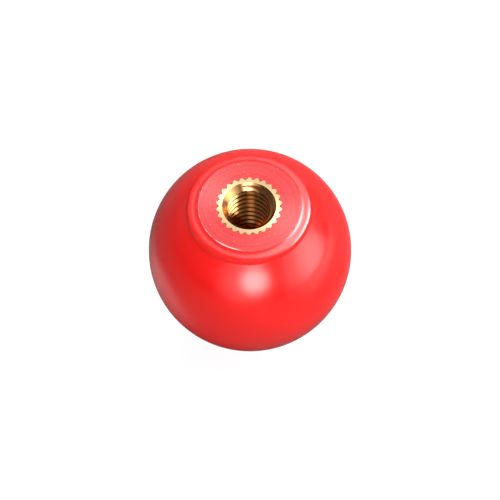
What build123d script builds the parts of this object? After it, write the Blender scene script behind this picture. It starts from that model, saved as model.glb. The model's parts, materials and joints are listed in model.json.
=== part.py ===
from build123d import *
import os
from math import cos, pi, radians, sin, sqrt, tan

# Ball knob, 25 mm, with a moulded-in brass bush for an M6 stud. All sizes are in millimetres.
# The origin is the centre of the turned mouth face, and +Z runs out of the thread's mouth.

# Ball
ball_diameter = 25.0

# Thread in the bush, metric coarse
thread_diameter = 6.0
thread_pitch = 1.0
thread_depth = 10.5
countersink_lead = 0.25
countersink_angle = 90.0
drill_point_angle = 118.0

# Straight-knurled bush
bush_wall = 0.95
bush_floor = 0.8
knurl_teeth = 26
knurl_depth = 0.34
knurl_tip_width = 0.16
first_tooth_angle = 5.6
groove_width = 2.0
groove_depth = 0.5

# Turned mouth face, and the moulded collar round it
face_ring_width = 2.25
face_step = 0.12
land_width = 1.15
land_drop = 0.22
collar_rise = 0.47
collar_draft_angle = 21.0
collar_edge_radius = 0.12

# The hole drilled for the tap is the thread's diameter less one pitch.
tap_drill_radius = (thread_diameter - thread_pitch) / 2
countersink_radius = thread_diameter / 2 + countersink_lead
countersink_depth = (countersink_radius - tap_drill_radius) / tan(radians(countersink_angle / 2))
drill_point_height = tap_drill_radius / tan(radians(drill_point_angle / 2))
drill_tip_depth = thread_depth + drill_point_height

bush_radius = thread_diameter / 2 + bush_wall
bush_length = drill_tip_depth + bush_floor
knurl_root_radius = bush_radius - knurl_depth
half_tooth = pi / knurl_teeth
half_tip = knurl_tip_width / (2 * bush_radius)

ball_radius = ball_diameter / 2
face_radius = bush_radius + face_ring_width
collar_radius = face_radius + land_width

# Heights are measured down from the mouth face. The land falls from the foot of the step to the
# collar's outer edge, and that edge stands collar_rise above the ball.
collar_edge_depth = face_step + land_drop
ball_centre_depth = sqrt(ball_radius**2 - collar_radius**2) + collar_rise + collar_edge_depth
ball_pole_depth = ball_centre_depth + ball_radius


def around_axis(radius, angle):
    """A point at this radius from the thread's axis, with the angle in radians from +X."""
    return (radius * cos(angle), radius * sin(angle))


os.makedirs("parts", exist_ok=True)

# The blank that the plastic is moulded round: knurled bar with a retention groove turned into it.
# The bush is this blank bored, and the ball's cavity is the blank itself.
with BuildPart() as bush_blank:
    with BuildSketch() as knurled_bar:
        Circle(knurl_root_radius)
        with PolarLocations(0, knurl_teeth, start_angle=first_tooth_angle):
            Polygon(
                around_axis(knurl_root_radius, -half_tooth),
                around_axis(bush_radius, -half_tip),
                around_axis(bush_radius, half_tip),
                around_axis(knurl_root_radius, half_tooth),
                align=None,
            )
    extrude(amount=-bush_length)
    with BuildSketch(Plane.XZ) as groove_section:
        with Locations((bush_radius, -bush_length / 2)):
            Rectangle(2 * groove_depth, groove_width)
    revolve(axis=Axis.Z, mode=Mode.SUBTRACT)

with BuildPart() as threaded_insert:
    add(bush_blank.part)
    with BuildSketch(Plane.XZ) as bore_section:
        Polygon(
            (0, 0),
            (countersink_radius, 0),
            (tap_drill_radius, -countersink_depth),
            (tap_drill_radius, -thread_depth),
            (0, -drill_tip_depth),
            align=None,
        )
    revolve(axis=Axis.Z, mode=Mode.SUBTRACT)

with BuildPart() as ball:
    with BuildSketch(Plane.XZ) as ball_section:
        with BuildLine() as outline:
            collar_edge = (collar_radius, -collar_edge_depth)
            step_foot = (face_radius, -face_step)
            # The wall falls from the collar's edge at the mould's draft angle until it meets the ball.
            down_the_wall = (sin(radians(collar_draft_angle)), -cos(radians(collar_draft_angle)))
            half_circle = CenterArc((0, -ball_centre_depth), ball_radius, -90, 180, mode=Mode.PRIVATE)
            collar_wall = IntersectingLine(collar_edge, down_the_wall, half_circle)
            ThreePointArc((0, -ball_pole_depth), (ball_radius, -ball_centre_depth), collar_wall @ 1)
            Polyline(collar_edge, step_foot, (face_radius, 0), (0, 0), (0, -ball_pole_depth))
        make_face()
        fillet(ball_section.vertices().sort_by_distance(collar_edge)[0], collar_edge_radius)
    revolve(axis=Axis.Z)
    add(bush_blank.part, mode=Mode.SUBTRACT)

ball.part.label = "ball"
export_step(ball.part, "parts/ball.step")

threaded_insert.part.label = "threaded_insert"
export_step(threaded_insert.part, "parts/threaded_insert.step")
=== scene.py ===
"""A 25 mm ball knob: red phenolic moulded round a knurled brass bush that is tapped for an M6 stud.

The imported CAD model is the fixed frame. Everything is in metres, with the origin at the centre of the
turned mouth face and +Z out of the thread's mouth.
"""
import json
import math

import bmesh
import bpy
import numpy as np
from bpy.props import FloatProperty, FloatVectorProperty, IntProperty, PointerProperty
from bpy.types import Operator, Panel, PropertyGroup
from mathutils import Matrix, Vector


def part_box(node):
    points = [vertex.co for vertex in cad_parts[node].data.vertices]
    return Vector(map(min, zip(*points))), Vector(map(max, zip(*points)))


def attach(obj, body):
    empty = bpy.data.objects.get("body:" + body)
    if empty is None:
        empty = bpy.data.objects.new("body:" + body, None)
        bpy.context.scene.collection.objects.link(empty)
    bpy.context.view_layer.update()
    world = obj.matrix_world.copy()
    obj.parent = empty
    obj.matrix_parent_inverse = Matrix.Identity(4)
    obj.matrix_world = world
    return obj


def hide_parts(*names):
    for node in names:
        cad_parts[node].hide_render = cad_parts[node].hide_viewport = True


bl_info = {
    "name": "Ball Knob",
    "version": (1, 0, 0),
    "blender": (4, 5, 0),
    "location": "3D View > Sidebar > Ball Knob",
    "description": "Builds a moulded ball knob with a knurled and tapped brass bush, in a plain studio",
    "category": "Add Mesh",
}

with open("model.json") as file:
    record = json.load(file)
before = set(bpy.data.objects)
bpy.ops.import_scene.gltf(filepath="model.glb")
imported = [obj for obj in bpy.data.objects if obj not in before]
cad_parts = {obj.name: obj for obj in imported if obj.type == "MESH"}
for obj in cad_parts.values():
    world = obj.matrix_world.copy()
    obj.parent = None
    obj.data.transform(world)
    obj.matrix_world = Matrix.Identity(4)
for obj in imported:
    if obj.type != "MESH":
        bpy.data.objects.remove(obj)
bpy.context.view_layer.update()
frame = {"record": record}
BALL_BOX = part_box("ball")
BUSH_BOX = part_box("threaded_insert")
THREAD_MOUNT = next(m for m in frame["record"]["mounts"] if m["name"] == "thread")

MM = 0.001
TAP_DRILL_RADIUS = THREAD_MOUNT["dims"]["r_mm"] * MM


def linear(hex_colour):
    """The linear red, green and blue of an sRGB hex colour."""
    values = [int(hex_colour[i : i + 2], 16) / 255 for i in (1, 3, 5)]
    return tuple(v / 12.92 if v <= 0.04045 else ((v + 0.055) / 1.055) ** 2.4 for v in values)


def direction(azimuth, elevation):
    """A unit vector from two angles in radians, with azimuth 0 along +X."""
    flat = math.cos(elevation)
    return Vector((flat * math.cos(azimuth), flat * math.sin(azimuth), math.sin(elevation)))


def length_prop(name, description, default):
    """A property that holds a length in metres."""
    return FloatProperty(
        name=name,
        description=description,
        default=default,
        min=0.0,
        precision=6,
        subtype="DISTANCE",
        unit="LENGTH",
    )


def angle_prop(name, description, degrees):
    """A property that holds an angle."""
    return FloatProperty(
        name=name,
        description=description,
        default=math.radians(degrees),
        subtype="ANGLE",
        unit="ROTATION",
    )


def colour_prop(name, description, hex_colour):
    """A property that holds a colour."""
    return FloatVectorProperty(
        name=name,
        description=description,
        default=linear(hex_colour),
        size=3,
        min=0.0,
        max=1.0,
        subtype="COLOR",
    )


class BallSizes(PropertyGroup):
    """Sizes of the moulded ball, its collar and its turned mouth face."""

    diameter: length_prop("Ball diameter", "Diameter of the ball", BALL_BOX[1].x - BALL_BOX[0].x)
    pole_depth: length_prop("Pole depth", "From the mouth face to the far end of the ball", -BALL_BOX[0].z)
    face_ring_width: length_prop("Face ring width", "Width of the turned ring round the bush", 2.2 * MM)
    face_edge_radius: length_prop("Face edge radius", "Rounding of the turned ring's edge", 0.03 * MM)
    flank_width: length_prop("Flank width", "Width of the slant from the turned ring to the land", 0.1 * MM)
    flank_height: length_prop("Flank height", "Height of that slant", 0.08 * MM)
    land_width: length_prop("Land width", "Width of the moulded land outside the turned ring", 1.1 * MM)
    land_drop: length_prop("Land drop", "How far the land falls to the collar's edge", 0.26 * MM)
    land_slope: angle_prop("Land slope", "Fall of the land at its middle, where it is flattest", 7.4)
    collar_draft: angle_prop("Collar draft", "Slant of the collar's wall, to leave the mould", 19.0)
    collar_edge_radius: length_prop("Collar edge radius", "Rounding of the collar's outer edge", 0.06 * MM)
    collar_root_radius: length_prop("Collar root radius", "Hollow between the collar and the ball", 0.02 * MM)
    root_chip: length_prop("Root chip", "Depth torn out of the plastic in the knurl's roots", 0.1 * MM)


class BushSizes(PropertyGroup):
    """Sizes of the knurled and tapped bush."""

    diameter: length_prop("Bush diameter", "Diameter over the knurl", BUSH_BOX[1].y - BUSH_BOX[0].y)
    length: length_prop("Bush length", "From the mouth face to the hidden end", -BUSH_BOX[0].z)
    knurl_teeth: IntProperty(name="Knurl teeth", description="Teeth round the bush", default=26, min=8)
    knurl_depth: length_prop("Knurl depth", "Depth of the knurl", 0.34 * MM)
    knurl_tip_width: length_prop("Knurl tip width", "Width of the flat on each tooth", 0.16 * MM)
    first_tooth: angle_prop("First tooth", "Direction of one tooth from the X axis", 5.6)
    groove_width: length_prop("Groove width", "Width of the groove that holds the bush", 2.0 * MM)
    groove_depth: length_prop("Groove depth", "Depth of the groove that holds the bush", 0.5 * MM)
    tap_drill_radius: length_prop("Tapping radius", "Radius at the thread's crests", TAP_DRILL_RADIUS)
    thread_diameter: length_prop("Thread diameter", "Nominal diameter of the thread", 6.0 * MM)
    thread_pitch: length_prop("Thread pitch", "From one turn of the thread to the next", 1.0 * MM)
    thread_depth: length_prop("Thread depth", "Depth of the full bore", 10.5 * MM)
    thread_start: angle_prop("Thread start", "Turn of the thread about its axis", 54.0)
    countersink_lead: length_prop("Countersink lead", "How much wider it is than the thread", 0.25 * MM)
    drill_point: angle_prop("Drill point", "Full angle of the drill's point", 118.0)


class KnobColours(PropertyGroup):
    """Colours of the plastic and the brass."""

    moulded: colour_prop("Moulded plastic", "The glossy skin of the ball", "#FA1A18")
    turned: colour_prop("Turned plastic", "The plastic under the skin, bared by the facing tool", "#DA3B3C")
    # Ring mark: the deeper rings' red. Darkened, it is also the painted line of shade at the turned face's
    # edge.
    ring_mark_and_edge_shade: colour_prop("Ring mark", "The deeper rings that the facing tool leaves", "#A81E22")
    # Chip: torn filler, painted pale as its glint.
    chip: colour_prop("Chip", "Filler bared where the tool tore the plastic", "#FFC4BC")
    # Knurl root: the packed swarf's dark red-brown, darkened further as painted shade in the pits.
    root: colour_prop("Knurl root", "Plastic and brass dust packed in the knurl's roots", "#7E1F16")
    brass: colour_prop("Brass", "Clean turned brass", "#F8DCB0")
    brass_mark: colour_prop("Brass mark", "Brass in the bottom of a turning mark", "#E2B478")
    # These two are a darker, redder copy of the brass: painted shade and brass-on-brass reflection inside the
    # bore, the countersink and the knurl.
    shaded_brass: colour_prop("Bored brass", "Brass that the tap and the knurling wheels have worked", "#EAAC6A")
    shaded_brass_mark: colour_prop("Bored brass mark", "Brass in the bottom of a tear", "#C4743C")


class StudioSettings(PropertyGroup):
    """The camera and the light."""

    camera_distance: length_prop("Camera distance", "From the ball's centre to the camera", 300 * MM)
    camera_elevation: angle_prop("Camera elevation", "Height of the camera over the mouth's plane", 61.14)
    camera_roll: angle_prop("Camera roll", "Turn of the camera about its own axis", 1.1)
    camera_lens: FloatProperty(
        name="Camera lens", description="Focal length for a 36 mm sensor", default=175.0, unit="CAMERA"
    )
    floor: colour_prop("Floor", "Paper that the knob stands on", "#5E5E5E")
    # Paler patches painted on the floor as pools of light.
    painted_floor_light: colour_prop("Floor cards", "Paler cards that lie on the floor beside the ball", "#ACACAC")
    room_level: FloatProperty(name="Room level", description="Even light from the room", default=0.07)
    room_back: FloatProperty(name="Back wall", description="Light that the back wall adds", default=0.36)
    room_ceiling: FloatProperty(name="Ceiling", description="Light that the ceiling adds", default=0.12)


def add_node(tree, kind, inputs=None, **settings):
    """Adds a node. Each input is a value to set or an output socket to link."""
    node = tree.nodes.new(kind)
    for name, value in settings.items():
        setattr(node, name, value)
    for key, value in (inputs or {}).items():
        if isinstance(value, bpy.types.NodeSocket):
            tree.links.new(value, node.inputs[key])
        else:
            node.inputs[key].default_value = value
    return node


def new_material(name):
    """An empty node material and its tree."""
    material = bpy.data.materials.new(name)
    material.use_nodes = True
    material.node_tree.nodes.clear()
    return material, material.node_tree


def rgba(tint, share=1.0):
    """A colour for a socket, darkened to a share of itself."""
    return (*(share * value for value in tint), 1.0)


def finish_surface(tree, height, relief, inputs):
    """Ends a material: the surface's shader over a relief of this height in metres."""
    bump = add_node(tree, "ShaderNodeBump", {"Height": height, "Distance": relief})
    shader = add_node(tree, "ShaderNodeBsdfPrincipled", {"Normal": bump.outputs["Normal"], **inputs})
    add_node(tree, "ShaderNodeOutputMaterial", {"Surface": shader.outputs[0]})


def lathe_frame(tree):
    """For each surface point: its place, its distance from the axis, and the way round the axis."""
    place = add_node(tree, "ShaderNodeTexCoord").outputs["Object"]
    flat = add_node(
        tree, "ShaderNodeVectorMath", {0: place, 1: (1.0, 1.0, 0.0)}, operation="MULTIPLY"
    )
    radius = add_node(tree, "ShaderNodeVectorMath", {0: flat.outputs[0]}, operation="LENGTH")
    way_round = add_node(tree, "ShaderNodeTangent", direction_type="RADIAL", axis="Z")
    return place, radius.outputs["Value"], way_round.outputs[0]


def band(tree, value, middle, half_width):
    """A soft-edged band: 1 where the value is at the middle, falling to 0 at the half width."""
    away = add_node(tree, "ShaderNodeMath", {0: value, 1: middle}, operation="SUBTRACT")
    off = add_node(tree, "ShaderNodeMath", {0: away.outputs[0]}, operation="ABSOLUTE")
    return add_node(
        tree,
        "ShaderNodeMapRange",
        {"Value": off.outputs[0], "From Min": 0.0, "From Max": half_width, "To Min": 1.0, "To Max": 0.0},
        interpolation_type="SMOOTHSTEP",
    ).outputs["Result"]


def side_mask(tree, place, degrees, start, full):
    """0 to 1 over the part of the face on one side, between two distances from the axis."""
    towards = direction(math.radians(degrees), 0.0)
    side = add_node(tree, "ShaderNodeVectorMath", {0: place, 1: towards}, operation="DOT_PRODUCT")
    return add_node(
        tree, "ShaderNodeMapRange", {"Value": side.outputs["Value"], "From Min": start, "From Max": full}
    ).outputs["Result"]


def moulded_phenolic(colours):
    """Phenolic plastic, compression-moulded against polished steel.

    It gives the eye a wet gloss over a deep, even red, and light that sinks a little way into the resin
    keeps the collar's shaded side red. The skin has the slow waviness of a mould that was polished by
    hand, and a faint cloudiness where the powder flowed.
    """
    material, tree = new_material("phenolic_moulded_polished")
    place = add_node(tree, "ShaderNodeTexCoord").outputs["Object"]
    # Clouds about 5 mm across, from the flow of the powder.
    clouds = add_node(tree, "ShaderNodeTexNoise", {"Vector": place, "Scale": 1 / (5 * MM), "Detail": 2.0})
    tone = add_node(
        tree,
        "ShaderNodeMix",
        {0: clouds.outputs["Fac"], 6: rgba(colours.moulded, 0.96), 7: rgba(colours.moulded)},
        data_type="RGBA",
    )
    # The mould's polishing marks, about 0.2 mm, seen only as a slight change in gloss.
    haze = add_node(tree, "ShaderNodeTexNoise", {"Vector": place, "Scale": 1 / (0.2 * MM), "Detail": 3.0})
    gloss = add_node(
        tree, "ShaderNodeMapRange", {"Value": haze.outputs["Fac"], "To Min": 0.15, "To Max": 0.21}
    )
    # Waviness about 2 mm long.
    waves = add_node(tree, "ShaderNodeTexNoise", {"Vector": place, "Scale": 1 / (2 * MM), "Detail": 1.0})
    finish_surface(
        tree,
        waves.outputs["Fac"],
        0.006 * MM,
        {
            "Base Color": tone.outputs[2],
            "Roughness": gloss.outputs["Result"],
            "IOR": 1.8,
            "Subsurface Weight": 1.0,
            "Subsurface Radius": (1.0, 0.12, 0.1),
            "Subsurface Scale": 0.6 * MM,
        },
    )
    return material


def turned_tone(tree, colours, place, inset, rings):
    """The turned face's reds: fine rings, grains of filler, two darker rings, and a painted line of shade at
    the edge.
    """
    # Noise lies mostly between 0.35 and 0.65, so that range is stretched over both colours.
    ring_share = add_node(
        tree, "ShaderNodeMapRange", {"Value": rings, "From Min": 0.35, "From Max": 0.65}
    )
    ringed = add_node(
        tree,
        "ShaderNodeMix",
        {0: ring_share.outputs["Result"], 6: rgba(colours.ring_mark_and_edge_shade), 7: rgba(colours.turned)},
        data_type="RGBA",
    )
    # Filler grains, about 0.2 mm, some paler and some darker.
    grain = add_node(tree, "ShaderNodeTexNoise", {"Vector": place, "Scale": 1 / (0.2 * MM), "Detail": 2.0})
    grain_share = add_node(
        tree, "ShaderNodeMapRange", {"Value": grain.outputs["Fac"], "From Min": 0.35, "From Max": 0.65}
    )
    grained = add_node(
        tree,
        "ShaderNodeMix",
        {0: grain_share.outputs["Result"], 6: rgba(colours.ring_mark_and_edge_shade, 0.75), 7: rgba(colours.turned)},
        data_type="RGBA",
    )
    mottled = add_node(
        tree, "ShaderNodeMix", {0: 0.5, 6: ringed.outputs[2], 7: grained.outputs[2]}, data_type="RGBA"
    )
    # Two rings where the tool was set in again, and a painted line of shade at the face's edge, where the
    # step is too fine to cast its own shadow. Each has its distance in from the edge, its half width and its
    # strength.
    marks_and_edge_shade = 0.0
    for middle, half_width, share in ((1.73, 0.08, 0.4), (0.6, 0.07, 0.3), (-0.05, 0.06, 0.6)):
        marks_and_edge_shade = add_node(
            tree,
            "ShaderNodeMath",
            {0: band(tree, inset, middle * MM, half_width * MM), 1: share, 2: marks_and_edge_shade},
            operation="MULTIPLY_ADD",
        ).outputs[0]
    return add_node(
        tree,
        "ShaderNodeMix",
        {0: marks_and_edge_shade, 6: mottled.outputs[2], 7: rgba(colours.ring_mark_and_edge_shade, 0.55)},
        data_type="RGBA",
    ).outputs[2]


def torn_filler_and_glints(tree, place, inset, face_radius):
    """Where the turned face is torn down to bare filler and painted pale as its glint, from 0 to 1."""
    # Chips about 0.14 mm across at the noise's highest peaks, more of them where the tool ran in. Their pale
    # colour is a painted glint on the torn crumbs.
    grit = add_node(tree, "ShaderNodeTexNoise", {"Vector": place, "Scale": 1 / (0.14 * MM), "Detail": 0.0})
    run_in = side_mask(tree, place, 150, face_radius - 0.95 * MM, face_radius - 0.25 * MM)
    likely = add_node(
        tree, "ShaderNodeMath", {0: run_in, 1: 0.13, 2: grit.outputs["Fac"]}, operation="MULTIPLY_ADD"
    )
    chips = add_node(
        tree, "ShaderNodeMapRange", {"Value": likely.outputs[0], "From Min": 0.81, "From Max": 0.87}
    )
    # The edge is torn where the tool ran out: a fine broken line, and one wider piece at its end, painted
    # pale as the torn edge's glint.
    tear = 0.05 * MM
    run_out = side_mask(tree, place, -150, face_radius - 1.55 * MM, face_radius - 0.35 * MM)
    line = add_node(
        tree, "ShaderNodeMath", {0: band(tree, inset, tear, tear), 1: run_out}, operation="MULTIPLY"
    )
    breaks = add_node(tree, "ShaderNodeTexNoise", {"Vector": place, "Scale": 1 / (0.5 * MM), "Detail": 1.0})
    left_on = add_node(
        tree,
        "ShaderNodeMapRange",
        {"Value": breaks.outputs["Fac"], "From Min": 0.4, "From Max": 0.6, "To Max": 0.7},
    )
    at_end = side_mask(tree, place, -116, face_radius - 0.3 * MM, face_radius - 0.13 * MM)
    piece = add_node(
        tree, "ShaderNodeMath", {0: band(tree, inset, tear, 2 * tear), 1: at_end}, operation="MULTIPLY"
    )
    edge = add_node(
        tree,
        "ShaderNodeMath",
        {0: line.outputs[0], 1: left_on.outputs["Result"], 2: piece.outputs[0]},
        operation="MULTIPLY_ADD",
        use_clamp=True,
    )
    return add_node(
        tree, "ShaderNodeMath", {0: chips.outputs["Result"], 1: edge.outputs[0]}, operation="MAXIMUM"
    ).outputs[0]


def turned_phenolic(colours, face_radius):
    """Phenolic plastic, faced on a lathe.

    The tool cuts through the glossy skin, so the face is dull. It gives the eye a soft bow tie of light
    across fine rings, two darker rings where the tool was set in again, a mottled grain of filler, a
    painted line of shade at the edge, and pale flecks and a pale line along part of the edge, which are
    torn filler with its glint painted in.
    """
    material, tree = new_material("phenolic_turned")
    place, radius, way_round = lathe_frame(tree)
    # The real feed of about 0.08 mm is too fine to show, so the rings are drawn about 0.25 mm apart.
    rings = add_node(
        tree,
        "ShaderNodeTexNoise",
        {"W": radius, "Scale": 1 / (0.25 * MM), "Detail": 3.0, "Roughness": 0.8},
        noise_dimensions="1D",
    ).outputs["Fac"]
    inset = add_node(tree, "ShaderNodeMath", {0: face_radius, 1: radius}, operation="SUBTRACT").outputs[0]
    torn = torn_filler_and_glints(tree, place, inset, face_radius)
    tone = add_node(
        tree,
        "ShaderNodeMix",
        {0: torn, 6: turned_tone(tree, colours, place, inset, rings), 7: rgba(colours.chip)},
        data_type="RGBA",
    )
    height = add_node(tree, "ShaderNodeMath", {0: rings, 1: torn}, operation="SUBTRACT")
    finish_surface(
        tree,
        height.outputs[0],
        0.01 * MM,
        {
            "Base Color": tone.outputs[2],
            "Roughness": 0.5,
            "Anisotropic": 0.8,
            "Anisotropic Rotation": 0.25,
            "Tangent": way_round,
            "IOR": 1.6,
        },
    )
    return material


def shaded_torn_phenolic(colours):
    """Phenolic torn out of the knurl's roots by the facing tool, and packed with swarf.

    It gives the eye small, dull, dark pits between the teeth. Their darkness is painted shade in the recess
    as well as the swarf's own colour.
    """
    material, tree = new_material("phenolic_torn_shaded")
    place = add_node(tree, "ShaderNodeTexCoord").outputs["Object"]
    # Crumbs about 0.06 mm across.
    crumbs = add_node(tree, "ShaderNodeTexNoise", {"Vector": place, "Scale": 1 / (0.06 * MM), "Detail": 3.0})
    tone = add_node(
        tree,
        "ShaderNodeMix",
        {0: crumbs.outputs["Fac"], 6: rgba(colours.root, 0.4), 7: rgba(colours.root)},
        data_type="RGBA",
    )
    finish_surface(
        tree,
        crumbs.outputs["Fac"],
        0.02 * MM,
        {"Base Color": tone.outputs[2], "Roughness": 0.8, "IOR": 1.6},
    )
    return material


def turned_brass(name, mark, clean, roughness, anisotropy):
    """Free-cutting brass, turned with a sharp tool.

    It gives the eye pale gold, with rings that break the light up round the axis. A fine feed leaves the
    face satin, and the countersink's edge leaves its cone nearly bright.
    """
    material, tree = new_material(name)
    _, radius, way_round = lathe_frame(tree)
    # The real feed of about 0.05 mm is too fine to show, so the rings are drawn about 0.12 mm apart.
    rings = add_node(
        tree,
        "ShaderNodeTexNoise",
        {"W": radius, "Scale": 1 / (0.12 * MM), "Detail": 2.0, "Roughness": 0.6},
        noise_dimensions="1D",
    ).outputs["Fac"]
    tone = add_node(
        tree, "ShaderNodeMix", {0: rings, 6: rgba(mark), 7: rgba(clean)}, data_type="RGBA"
    )
    finish_surface(
        tree,
        rings,
        0.006 * MM,
        {
            "Base Color": tone.outputs[2],
            "Metallic": 1.0,
            "Roughness": roughness,
            "Anisotropic": anisotropy,
            "Anisotropic Rotation": 0.25,
            "Tangent": way_round,
        },
    )
    return material


def tapped_brass(colours, crest_radius):
    """Free-cutting brass, drilled and then tapped.

    It gives the eye bright flanks, with fine tearing that runs round with the thread. The crests are the
    drill's wall, painted darker as the shade between the flanks, so they part the flanks with a dark line.
    """
    material, tree = new_material("brass_tapped")
    place, radius, _ = lathe_frame(tree)
    # Tearing about 0.05 mm high and ten times as long round the bore.
    stretched = add_node(
        tree, "ShaderNodeVectorMath", {0: place, 1: (0.1, 0.1, 1.0)}, operation="MULTIPLY"
    )
    tearing = add_node(
        tree,
        "ShaderNodeTexNoise",
        {"Vector": stretched.outputs[0], "Scale": 1 / (0.05 * MM), "Detail": 2.0},
    ).outputs["Fac"]
    # The flanks take the darker, redder brass of painted shade inside the bore.
    flank = add_node(
        tree,
        "ShaderNodeMix",
        {0: tearing, 6: rgba(colours.shaded_brass_mark), 7: rgba(colours.shaded_brass)},
        data_type="RGBA",
    )
    # Painted shade: the crests are darkened so that a dark line parts the bright flanks.
    shaded_crest = band(tree, radius, crest_radius, 0.07 * MM)
    tone = add_node(
        tree,
        "ShaderNodeMix",
        {0: shaded_crest, 6: flank.outputs[2], 7: rgba(colours.shaded_brass_mark, 0.45)},
        data_type="RGBA",
    )
    finish_surface(
        tree, tearing, 0.0015 * MM, {"Base Color": tone.outputs[2], "Metallic": 1.0, "Roughness": 0.15}
    )
    return material


def knurled_brass(colours):
    """Brass bar as the knurling wheels leave it: satin, with pressed grain along the teeth, in the darker
    brass of painted shade, so the flanks seen in the knurl's roots stay dark.
    """
    material, tree = new_material("brass_knurled")
    place = add_node(tree, "ShaderNodeTexCoord").outputs["Object"]
    # Grain about 0.08 mm wide and ten times as long down the bar.
    along_teeth = add_node(
        tree, "ShaderNodeVectorMath", {0: place, 1: (1.0, 1.0, 0.1)}, operation="MULTIPLY"
    )
    grain = add_node(
        tree,
        "ShaderNodeTexNoise",
        {"Vector": along_teeth.outputs[0], "Scale": 1 / (0.08 * MM), "Detail": 2.0},
    ).outputs["Fac"]
    gloss = add_node(tree, "ShaderNodeMapRange", {"Value": grain, "To Min": 0.3, "To Max": 0.45})
    finish_surface(
        tree,
        grain,
        0.002 * MM,
        {"Base Color": rgba(colours.shaded_brass), "Metallic": 1.0, "Roughness": gloss.outputs["Result"]},
    )
    return material


def studio_paper(studio):
    """Matt paper that is white to the camera and keeps the knob's shadow.

    In the knob's gloss it stays as dark as its own shade under the lamps, so the ball's lower half does
    not turn milky. Two paler patches on it are painted pools of light.
    """
    material, tree = new_material("paper_matt")
    place = add_node(tree, "ShaderNodeTexCoord").outputs["Object"]
    # Fibres about 0.5 mm long.
    fibres = add_node(tree, "ShaderNodeTexNoise", {"Vector": place, "Scale": 1 / (0.5 * MM), "Detail": 2.0})
    relief = add_node(tree, "ShaderNodeBump", {"Height": fibres.outputs["Fac"], "Distance": 0.01 * MM})
    # Two painted pools of light with soft edges, as paler patches of paper: one close by on the left, where
    # the knob's shadow falls, and one further off on the right, under the side lamps. The ball mirrors them
    # near its edges. Each has its place, and the radii where its soft edge starts and ends, in millimetres.
    on_painted_light = 0.0
    for x, y, edge_start, edge_end in ((-24, -4, 4, 18), (130, -25, 30, 88)):
        away = add_node(
            tree, "ShaderNodeVectorMath", {0: place, 1: (x * MM, y * MM, 0.0)}, operation="DISTANCE"
        )
        card = add_node(
            tree,
            "ShaderNodeMapRange",
            {"Value": away.outputs["Value"], "From Min": edge_end * MM, "From Max": edge_start * MM},
            interpolation_type="SMOOTHSTEP",
        )
        on_painted_light = add_node(
            tree, "ShaderNodeMath", {0: card.outputs["Result"], 1: on_painted_light}, operation="MAXIMUM"
        ).outputs[0]
    shade = add_node(
        tree,
        "ShaderNodeMix",
        {0: on_painted_light, 6: rgba(studio.floor), 7: rgba(studio.painted_floor_light)},
        data_type="RGBA",
    )
    paper = add_node(
        tree,
        "ShaderNodeBsdfDiffuse",
        {"Color": shade.outputs[2], "Normal": relief.outputs["Normal"]},
    )
    # To the camera the paper glows almost white by itself. What light falls on it makes up the rest.
    almost_white = 0.93
    rays = add_node(tree, "ShaderNodeLightPath")
    strength = add_node(
        tree, "ShaderNodeMath", {0: rays.outputs["Is Camera Ray"], 1: almost_white}, operation="MULTIPLY"
    )
    glow = add_node(tree, "ShaderNodeEmission", {"Strength": strength.outputs[0]})
    lit = add_node(tree, "ShaderNodeAddShader", {0: paper.outputs[0], 1: glow.outputs[0]})
    add_node(tree, "ShaderNodeOutputMaterial", {"Surface": lit.outputs[0]})
    return material


def tooth_angles(bush):
    """Angles round the axis that meet every corner of the knurl.

    For each angle it also gives the knurl's radius, and how far the angle is from its tooth's middle,
    with the roots at -1 and 1.
    """
    flank_steps, tip_steps = 6, 2
    pitch = 2 * math.pi / bush.knurl_teeth
    half_tip = bush.knurl_tip_width / bush.diameter
    flank = np.linspace(half_tip, pitch / 2, flank_steps + 1)
    tip = np.linspace(-half_tip, half_tip, tip_steps + 1)
    one_tooth = np.concatenate([-flank[::-1], tip[1:-1], flank[:-1]])
    tip_radius = bush.diameter / 2
    root_radius = tip_radius - bush.knurl_depth
    # A straight flank between the tip's corner and the root, as seen along the axis.
    corner = np.array([tip_radius * math.cos(half_tip), tip_radius * math.sin(half_tip)])
    root = np.array([root_radius * math.cos(pitch / 2), root_radius * math.sin(pitch / 2)])
    run = root - corner
    away = np.clip(np.abs(one_tooth), half_tip, pitch / 2)
    across = corner[0] * np.sin(away) - corner[1] * np.cos(away)
    share = across / (run[1] * np.cos(away) - run[0] * np.sin(away))
    on_flank = np.hypot(corner[0] + share * run[0], corner[1] + share * run[1])
    radius = np.where(np.abs(one_tooth) < half_tip, tip_radius, on_flank)
    angles = (bush.first_tooth + pitch * np.arange(bush.knurl_teeth)[:, None] + one_tooth).ravel()
    return angles, np.tile(radius, bush.knurl_teeth), np.tile(one_tooth / (pitch / 2), bush.knurl_teeth)


def arc(centre, radius, start, end, steps):
    """Points of an arc in the (radius, height) plane, ends included."""
    turns = np.linspace(start, end, steps + 1)
    return [(centre[0] + radius * math.cos(t), centre[1] + radius * math.sin(t)) for t in turns]


def rounding(corner, before, after, radius, steps):
    """The points that round a corner of a profile between two straight runs."""
    corner, before, after = (Vector(p) for p in (corner, before, after))
    to_before, to_after = (before - corner).normalized(), (after - corner).normalized()
    half = to_before.angle(to_after) / 2
    centre = corner + (to_before + to_after).normalized() * (radius / math.sin(half))
    first = corner + to_before * (radius / math.tan(half)) - centre
    turn = first.angle_signed(corner + to_after * (radius / math.tan(half)) - centre)
    start = math.atan2(first.y, first.x)
    return arc(centre, radius, start, start - turn, steps)


def ring(angles, radius, height):
    """Points round the axis. The radius and the height are single numbers, or one for each angle."""
    points = np.empty((len(angles), 3))
    points[:, 0] = radius * np.cos(angles)
    points[:, 1] = radius * np.sin(angles)
    points[:, 2] = height
    return points


def add_ring(mesh, points):
    """New vertices at these points."""
    return [mesh.verts.new(p) for p in points]


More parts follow.
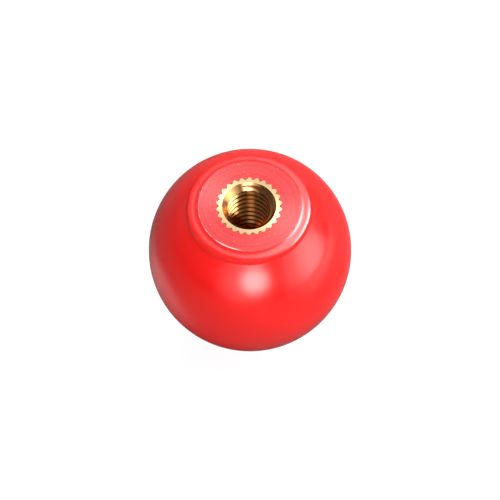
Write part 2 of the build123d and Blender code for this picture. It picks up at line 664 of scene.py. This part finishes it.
def bridge(mesh, lower, upper, finish):
    """Faces between two rings, or between a ring and a single point."""
    count = max(len(lower), len(upper))
    for i in range(count):
        j = (i + 1) % count
        if len(lower) == 1:
            corners = (lower[0], upper[j], upper[i])
        elif len(upper) == 1:
            corners = (lower[i], lower[j], upper[0])
        else:
            corners = (lower[i], lower[j], upper[j], upper[i])
        mesh.faces.new(corners).material_index = finish


def add_piece(name, mesh, materials):
    """Turns a bmesh into a smooth object that is sharp at its corners and rides on the root body."""
    bmesh.ops.recalc_face_normals(mesh, faces=mesh.faces[:])
    data = bpy.data.meshes.new(name)
    mesh.to_mesh(data)
    mesh.free()
    for material in materials:
        data.materials.append(material)
    data.shade_smooth()
    data.set_sharp_from_angle(angle=math.radians(30))
    piece = bpy.data.objects.new(name, data)
    bpy.context.scene.collection.objects.link(piece)
    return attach(piece, "root")


def ball_profile(ball, bush):
    """The outside of the ball from its far end up to the mouth face, as (radius, height) points."""
    ball_steps, hollow_steps, lip_steps, land_points, rim_steps = 96, 4, 6, 14, 5
    radius = ball.diameter / 2
    centre = Vector((0.0, -ball.pole_depth + radius))
    rim = Vector((bush.diameter / 2 + ball.face_ring_width, 0.0))
    foot = rim + Vector((ball.flank_width, -ball.flank_height))
    edge = foot + Vector((ball.land_width, -ball.land_drop))
    # The collar's wall falls at the mould's draft angle until it meets the ball.
    down = Vector((math.sin(ball.collar_draft), -math.cos(ball.collar_draft)))
    inward = (edge - centre).dot(down)
    root = edge - down * (inward + math.sqrt(inward**2 - (edge - centre).length_squared + radius**2))
    outside = root - centre
    down_the_ball = Vector((outside.y, -outside.x))
    hollow = rounding(root, root + down_the_ball, edge, ball.collar_root_radius, hollow_steps)
    first = Vector(hollow[0]) - centre
    # The land is flattest at its middle and steepens evenly towards both of its edges.
    half = ball.land_width / 2
    slope = math.tan(ball.land_slope)
    steepening = (ball.land_drop / 2 - slope * half) / half**3
    end_slope = Vector((1.0, -slope - 3 * steepening * half**2))
    lip = rounding(edge, root, edge - end_slope, ball.collar_edge_radius, lip_steps)
    points = arc(centre, radius, math.radians(-90), math.atan2(first.y, first.x), ball_steps)
    wall = [tuple(root.lerp(edge, share)) for share in (0.35, 0.7)]
    points += hollow[1:] + wall + lip
    land_middle = (foot + edge) / 2
    for across in np.linspace(lip[-1][0] - land_middle.x, -half, land_points)[1:]:
        points.append((land_middle.x + across, land_middle.y - slope * across - steepening * across**3))
    return points + rounding(rim, foot, (0.0, 0.0), ball.face_edge_radius, rim_steps)


class MESH_OT_moulded_ball(Operator):
    """Add the red ball with its collar, its turned mouth face and the cavity that holds the bush"""

    bl_idname = "mesh.ball_knob_moulded_ball"
    bl_label = "Moulded Ball"
    bl_options = {"REGISTER", "UNDO"}

    def execute(self, context):
        ball, bush, colours = context.scene.knob_ball, context.scene.knob_bush, context.scene.knob_colours
        angles, knurl, across = tooth_angles(bush)
        moulded, turned, torn = 0, 1, 2
        mesh = bmesh.new()
        profile = ball_profile(ball, bush)
        rings = [add_ring(mesh, [(0.0, 0.0, profile[0][1])])]
        finishes = []
        # The facing tool has cut everything above the foot of the slant at the turned ring's edge.
        just_above_foot = -0.9 * ball.flank_height
        for radius, height in profile[1:]:
            rings.append(add_ring(mesh, ring(angles, radius, height)))
            finishes.append(moulded if height < just_above_foot else turned)
        # Rings of points across the turned face, at these shares of its width.
        face_radius = bush.diameter / 2 + ball.face_ring_width
        for share in (0.15, 0.4, 0.65, 0.88):
            rings.append(add_ring(mesh, ring(angles, face_radius - share * ball.face_ring_width, 0.0)))
            finishes.append(turned)
        # Round each tooth the plastic is chipped a little differently. The numbers are fixed by their seed.
        # A chip starts part of the way from the tooth's middle to the root, and grows towards the root. Its
        # rings are its rim, the foot of its wall, and the brass. Each has its gap from the brass beside the
        # sound part, and what a chip adds to that.
        chip_sizes = np.random.default_rng(11).uniform(0.6, 1.3, bush.knurl_teeth)
        chips = np.repeat(chip_sizes, len(angles) // bush.knurl_teeth)
        sound = 0.45
        root = np.clip((np.abs(across) - sound) / (1 - sound), 0.0, 1.0)
        chip_floor = -ball.root_chip * np.minimum(1.0, 2 * root)
        for gap, growth, height, finish in (
            (0.02 * MM, 0.13 * MM, 0.0, turned),
            (0.01 * MM, 0.08 * MM, chip_floor, torn),
            (0.0, 0.0, chip_floor, torn),
        ):
            rings.append(add_ring(mesh, ring(angles, knurl + gap + growth * chips * root, height)))
            finishes.append(finish)
        for radius, height in blank_profile(bush, knurl)[::-1]:
            rings.append(add_ring(mesh, ring(angles, radius, height)))
            finishes.append(moulded)
        rings.append(add_ring(mesh, [(0.0, 0.0, -bush.length)]))
        finishes.append(moulded)
        for lower, upper, finish in zip(rings, rings[1:], finishes):
            bridge(mesh, lower, upper, finish)
        skin = moulded_phenolic(colours)
        face = turned_phenolic(colours, face_radius)
        pits = shaded_torn_phenolic(colours)
        piece = add_piece("moulded_ball", mesh, [skin, face, pits])
        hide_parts("ball")
        return {"FINISHED"}


def blank_profile(bush, knurl):
    """The bush's hidden outside from its end up to just under the mouth face: knurl, groove, knurl."""
    groove_radius = bush.diameter / 2 - bush.groove_depth
    middle, half = -bush.length / 2, bush.groove_width / 2
    below_face = 0.3 * MM
    return [
        (knurl, -bush.length),
        (knurl, middle - half),
        (groove_radius, middle - half),
        (groove_radius, middle + half),
        (knurl, middle + half),
        (knurl, -below_face),
    ]


def thread_shape(bush):
    """One pitch of the tapped thread: shares of the pitch, and how deep each is cut, from 0 to 1."""
    # The ISO metric form has 60 degrees between its flanks, and roots an eighth of the pitch wide.
    depth = bush.thread_diameter / 2 - bush.tap_drill_radius
    root_flat = bush.thread_pitch / 8
    flank = depth * math.tan(math.radians(30))
    crest_flat = bush.thread_pitch - root_flat - 2 * flank
    corners = np.cumsum([0.0, crest_flat, flank, root_flat, flank]) / bush.thread_pitch
    cut = np.array([0.0, 0.0, 1.0, 1.0, 0.0])
    steps = [np.linspace(a, b, 5) for a, b in zip(corners, corners[1:])]
    shares = np.unique(np.concatenate(steps))[:-1]
    return shares, np.interp(shares, corners, cut)


def tapped_bore(mesh, bush, angles, countersunk, tapped):
    """The countersink and the right-hand thread, on a grid whose rows follow the thread's own slope."""
    shares, cut = thread_shape(bush)
    pitch, bottom = bush.thread_pitch, -bush.thread_depth
    # The tap's lead leaves the last turns shallow.
    tap_lead = 1.5 * pitch
    rows_a_turn = len(shares)
    turns = math.ceil(bush.thread_depth / pitch) + 2
    mouth_radius = bush.thread_diameter / 2 + bush.countersink_lead
    full_depth = bush.thread_diameter / 2 - bush.tap_drill_radius
    row = np.arange(turns * rows_a_turn + 1)
    fall = pitch * (row // rows_a_turn + shares[row % rows_a_turn])
    rise = pitch * (angles - angles[0] + bush.thread_start) / (2 * math.pi)
    grid = []
    for turned_by, around in zip(rise, angles):
        height = np.clip(turned_by - fall, bottom, 0.0)
        lead = np.clip((height - bottom) / tap_lead, 0.0, 1.0)
        # Rows that were clipped to an end take the shape of the thread at that end.
        share = ((turned_by - height) / pitch) % 1.0
        depth = np.interp(share, np.append(shares, 1.0), np.append(cut, cut[0])) * lead
        radius = np.maximum(bush.tap_drill_radius + full_depth * depth, mouth_radius + height)
        points = np.stack([radius * math.cos(around), radius * math.sin(around), height], axis=1)
        grid.append(add_ring(mesh, points))
    last = len(row) - 1
    # Corners of a face that are closer together than this are one corner.
    same_point = 0.00001 * MM
    for i, column in enumerate(grid):
        wraps = i + 1 == len(grid)
        beside = grid[0] if wraps else grid[i + 1]
        for k in range(last):
            # Past the last column the thread goes on one turn higher in the first.
            a, b = (k - rows_a_turn, k + 1 - rows_a_turn) if wraps else (k, k + 1)
            a, b = max(a, 0), max(b, 0)
            corners = []
            for corner in (column[k], column[k + 1], beside[b], beside[a]):
                if all((corner.co - other.co).length > same_point for other in corners):
                    corners.append(corner)
            if len(corners) > 2:
                # On the countersink's cone the radius less the height is the mouth's radius.
                reach = sum(math.hypot(c.co.x, c.co.y) - c.co.z for c in corners) / len(corners)
                finish = countersunk if reach < mouth_radius + 0.001 * MM else tapped
                mesh.faces.new(corners).material_index = finish


class MESH_OT_tapped_bush(Operator):
    """Add the brass bush with its knurl, its countersink and its real M6 thread"""

    bl_idname = "mesh.ball_knob_tapped_bush"
    bl_label = "Tapped Bush"
    bl_options = {"REGISTER", "UNDO"}

    def execute(self, context):
        bush, colours = context.scene.knob_bush, context.scene.knob_colours
        angles, knurl, _ = tooth_angles(bush)
        turned, tapped, knurled, countersunk = 0, 1, 2, 3
        # A fine bevel breaks the knurl's edge, and one ring of points on the face stays close to the mouth.
        bevel, beside_mouth = 0.01 * MM, 0.2 * MM
        mesh = bmesh.new()
        rings = [add_ring(mesh, [(0.0, 0.0, -bush.length)])]
        finishes = []
        for radius, height in blank_profile(bush, knurl) + [(knurl, -bevel)]:
            rings.append(add_ring(mesh, ring(angles, radius, height)))
            finishes.append(knurled)
        mouth_radius = bush.thread_diameter / 2 + bush.countersink_lead
        for radius in (knurl - bevel, mouth_radius + beside_mouth, mouth_radius):
            rings.append(add_ring(mesh, ring(angles, radius, 0.0)))
            finishes.append(turned)
        for lower, upper, finish in zip(rings, rings[1:], finishes):
            bridge(mesh, lower, upper, finish)
        tapped_bore(mesh, bush, angles, countersunk, tapped)
        tip = -bush.thread_depth - bush.tap_drill_radius / math.tan(bush.drill_point / 2)
        bore_end = add_ring(mesh, ring(angles, bush.tap_drill_radius, -bush.thread_depth))
        bridge(mesh, bore_end, add_ring(mesh, [(0.0, 0.0, tip)]), countersunk)
        # This joins the bore's two ends to the mouth's ring and to the drill point's.
        bmesh.ops.remove_doubles(mesh, verts=mesh.verts[:], dist=0.0001 * MM)
        face = turned_brass(
            "brass_turned", colours.brass_mark, colours.brass, roughness=0.44, anisotropy=0.8
        )
        bore = tapped_brass(colours, bush.tap_drill_radius)
        outside = knurled_brass(colours)
        # The countersink's rings take the darker brass of painted shade as their marks.
        cone = turned_brass(
            "brass_countersunk", colours.shaded_brass, colours.brass_mark, roughness=0.2, anisotropy=0.3
        )
        piece = add_piece("threaded_bush", mesh, [face, bore, outside, cone])
        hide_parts("threaded_insert")
        return {"FINISHED"}


def add_softbox(name, azimuth, elevation, distance, width, brightness, centre):
    """A square softbox that faces the knob and fades towards its edges, as a real one does.

    Its brightness at the middle is 1 where a white surface would just look white. It is even out to 0.12
    of its width from there, and it has faded out at half its width.
    """
    lamp = bpy.data.lights.new(name, "AREA")
    lamp.shape = "SQUARE"
    lamp.size = width
    # An area lamp is as bright as its energy over four times its area.
    lamp.energy = 4 * width**2 * brightness
    lamp.use_nodes = True
    tree = lamp.node_tree
    tree.nodes.clear()
    place = add_node(tree, "ShaderNodeTexCoord")
    off_centre = add_node(
        tree, "ShaderNodeVectorMath", {0: place.outputs["UV"], 1: (0.5, 0.5, 0.0)}, operation="DISTANCE"
    )
    fade = add_node(
        tree,
        "ShaderNodeMapRange",
        {
            "Value": off_centre.outputs["Value"],
            "From Min": 0.12,
            "From Max": 0.5,
            "To Min": 1.0,
            "To Max": 0.0,
        },
        interpolation_type="SMOOTHSTEP",
    )
    glow = add_node(tree, "ShaderNodeEmission", {"Strength": fade.outputs["Result"]})
    add_node(tree, "ShaderNodeOutputLight", {"Surface": glow.outputs[0]})
    softbox = bpy.data.objects.new(name, lamp)
    bpy.context.scene.collection.objects.link(softbox)
    back = direction(math.radians(azimuth), math.radians(elevation))
    softbox.location = centre + back * distance
    softbox.rotation_euler = back.to_track_quat("Z", "Y").to_euler()
    softbox.visible_camera = False
    return softbox


class SCENE_OT_studio(Operator):
    """Add the white floor, the softboxes, the room's even light and the camera"""

    bl_idname = "scene.ball_knob_studio"
    bl_label = "Studio"
    bl_options = {"REGISTER", "UNDO"}

    def execute(self, context):
        scene = context.scene
        ball, studio = scene.knob_ball, scene.knob_studio
        centre = Vector((0.0, 0.0, -ball.pole_depth + ball.diameter / 2))
        floor_half_width = 1.5
        mesh = bmesh.new()
        bmesh.ops.create_grid(mesh, x_segments=1, y_segments=1, size=floor_half_width)
        data = bpy.data.meshes.new("floor")
        mesh.to_mesh(data)
        mesh.free()
        data.materials.append(studio_paper(studio))
        floor = bpy.data.objects.new("floor", data)
        floor.location.z = -ball.pole_depth
        scene.collection.objects.link(floor)

        # Azimuth and elevation in degrees, distance and width in metres, and brightness.
        for name, azimuth, elevation, distance, width, brightness in (
            ("key_softbox", -85.5, 26, 0.40, 0.30, 4.2),
            ("key_spill", -95, 24, 0.40, 0.62, 0.6),
            ("side_softbox", -12, 12, 0.40, 0.44, 1.1),
            ("side_spill", -23, 14, 0.40, 0.64, 0.75),
            ("top_softbox", 23, 48, 0.45, 0.39, 10.0),
            ("top_spill", 30, 50, 0.50, 1.1, 0.4),
            ("overhead_softbox", 82, 62, 0.50, 0.56, 1.2),
            ("land_softbox", 40, 70, 0.50, 0.30, 1.1),
            ("thread_softbox", -10, 47, 0.50, 0.22, 4.5),
            ("camera_side_softbox", -88, 56, 0.50, 0.22, 0.4),
        ):
            add_softbox(name, azimuth, elevation, distance, width, brightness, centre)
        # Three cards lift the shade in the matt red and leave the reflections as they are.
        for name, azimuth, elevation, brightness in (
            ("front_card", -90, 9, 1.35),
            ("left_card", -160, 14, 1.0),
            ("top_card", 10, 66, 2.3),
        ):
            card = add_softbox(name, azimuth, elevation, 0.50, 0.60, brightness, centre)
            card.visible_glossy = False

        world = bpy.data.worlds.new("studio_room")
        world.use_nodes = True
        tree = world.node_tree
        tree.nodes.clear()
        rays = add_node(tree, "ShaderNodeLightPath")
        place = add_node(tree, "ShaderNodeTexCoord")
        # To the camera the room is white. To the knob it is dim, and brightest at the back wall.
        towards = add_node(tree, "ShaderNodeSeparateXYZ", {0: place.outputs["Generated"]})
        level = studio.room_level
        for axis, share in (("Y", studio.room_back), ("Z", studio.room_ceiling)):
            facing = add_node(
                tree, "ShaderNodeMath", {0: towards.outputs[axis], 1: 0.0}, operation="MAXIMUM"
            )
            level = add_node(
                tree, "ShaderNodeMath", {0: facing.outputs[0], 1: share, 2: level}, operation="MULTIPLY_ADD"
            ).outputs[0]
        room = add_node(tree, "ShaderNodeBackground", {"Strength": level})
        backdrop = add_node(tree, "ShaderNodeBackground", {"Color": (1.0, 1.0, 1.0, 1.0)})
        seen = add_node(
            tree,
            "ShaderNodeMixShader",
            {0: rays.outputs["Is Camera Ray"], 1: room.outputs[0], 2: backdrop.outputs[0]},
        )
        add_node(tree, "ShaderNodeOutputWorld", {"Surface": seen.outputs[0]})
        scene.world = world

        data = bpy.data.cameras.new("camera")
        data.lens = studio.camera_lens
        data.clip_start, data.clip_end = 0.01, 10.0
        camera = bpy.data.objects.new("camera", data)
        back = direction(math.radians(-90), studio.camera_elevation)
        sideways = Vector((1.0, 0.0, 0.0))
        rise = back.cross(sideways)
        roll = studio.camera_roll
        across = sideways * math.cos(roll) - rise * math.sin(roll)
        upright = sideways * math.sin(roll) + rise * math.cos(roll)
        turn = Matrix((across, upright, back)).transposed().to_4x4()
        camera.matrix_world = Matrix.Translation(centre + back * studio.camera_distance) @ turn
        scene.collection.objects.link(camera)
        scene.camera = camera
        scene.view_settings.view_transform = "Standard"
        return {"FINISHED"}


class VIEW3D_PT_ball_knob(Panel):
    """The knob's pieces, sizes and colours"""

    bl_label = "Ball Knob"
    bl_idname = "VIEW3D_PT_ball_knob"
    bl_space_type = "VIEW_3D"
    bl_region_type = "UI"
    bl_category = "Ball Knob"

    def draw(self, context):
        for operator in (MESH_OT_moulded_ball, MESH_OT_tapped_bush, SCENE_OT_studio):
            self.layout.operator(operator.bl_idname)
        for title, name in (
            ("Ball", "knob_ball"),
            ("Bush", "knob_bush"),
            ("Colours", "knob_colours"),
            ("Studio", "knob_studio"),
        ):
            box = self.layout.box()
            box.label(text=title)
            settings = getattr(context.scene, name)
            for prop in settings.bl_rna.properties:
                if prop.identifier not in ("rna_type", "name"):
                    box.prop(settings, prop.identifier)


CLASSES = (
    BallSizes,
    BushSizes,
    KnobColours,
    StudioSettings,
    MESH_OT_moulded_ball,
    MESH_OT_tapped_bush,
    SCENE_OT_studio,
    VIEW3D_PT_ball_knob,
)


def register():
    """Makes the classes known to Blender, and gives the scene their settings."""
    for cls in CLASSES:
        bpy.utils.register_class(cls)
    bpy.types.Scene.knob_ball = PointerProperty(type=BallSizes)
    bpy.types.Scene.knob_bush = PointerProperty(type=BushSizes)
    bpy.types.Scene.knob_colours = PointerProperty(type=KnobColours)
    bpy.types.Scene.knob_studio = PointerProperty(type=StudioSettings)


def unregister():
    """Takes back what register() did."""
    for name in ("knob_studio", "knob_colours", "knob_bush", "knob_ball"):
        delattr(bpy.types.Scene, name)
    for cls in reversed(CLASSES):
        bpy.utils.unregister_class(cls)


def main():
    """Builds the knob and its studio."""
    register()
    bpy.ops.mesh.ball_knob_moulded_ball()
    bpy.ops.mesh.ball_knob_tapped_bush()
    bpy.ops.scene.ball_knob_studio()


if __name__ == "__main__":
    main()
